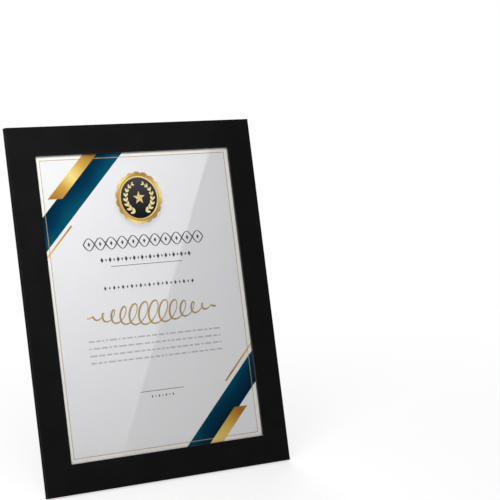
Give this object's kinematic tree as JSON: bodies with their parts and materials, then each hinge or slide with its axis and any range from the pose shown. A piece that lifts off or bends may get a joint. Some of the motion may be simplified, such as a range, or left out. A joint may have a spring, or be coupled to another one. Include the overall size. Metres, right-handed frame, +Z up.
{
  "type": "certificate frame",
  "caption": "Black board frame for an award sheet, with a clear film window, a slide-in pocket and die-cut easel legs on its back to stand it upright or on its side.",
  "frame": {"origin": "on the floor, under the middle of the whole frame's box as it stands upright on its leg", "axes": "+Z up from the floor, +X to the right seen from the front, +Y from the front to the back; the board leans back 15.5 degrees and its window faces -Y"},
  "size_m": [0.255, 0.1158, 0.3164],
  "materials": {
    "black_board": "matte black faced board, die cut",
    "black_card": "matte black card",
    "clear_tape": "double-sided tape",
    "clear_film": "clear polished film",
    "certificate_paper": "smooth white printed sheet"
  },
  "bodies": {
    "frame": {"front_panel": "black_board", "window_film": "clear_film", "film_tape_left": "clear_tape", "film_tape_right": "clear_tape", "film_tape_top": "clear_tape", "liner_sheet": "black_card", "left_spacer": "black_card", "right_spacer": "black_card", "bottom_spacer": "black_card", "back_panel": "black_board"},
    "certificate": {"certificate": "certificate_paper"},
    "portrait_leg": {"portrait_easel": "black_board"},
    "landscape_leg": {"landscape_easel": "black_board"}
  },
  "joints": [
    {"name": "portrait_leg_fold", "type": "hinge", "parent": "frame", "child": "portrait_leg", "pos_m": [0, -0.03029, 0.08088], "axis": [0, -0.2672, -0.9636], "range_deg": [-90, 15]},
    {"name": "landscape_leg_fold", "type": "hinge", "parent": "frame", "child": "landscape_leg", "pos_m": [0.0355, -0.00744, 0.16327], "axis": [-1, 0, 0], "range_deg": [-30, 75]},
    {"name": "certificate_slide", "type": "slide", "parent": "frame", "child": "certificate", "axis": [0, 0.2672, 0.9636], "range_m": [0, 0.25]}
  ]
}
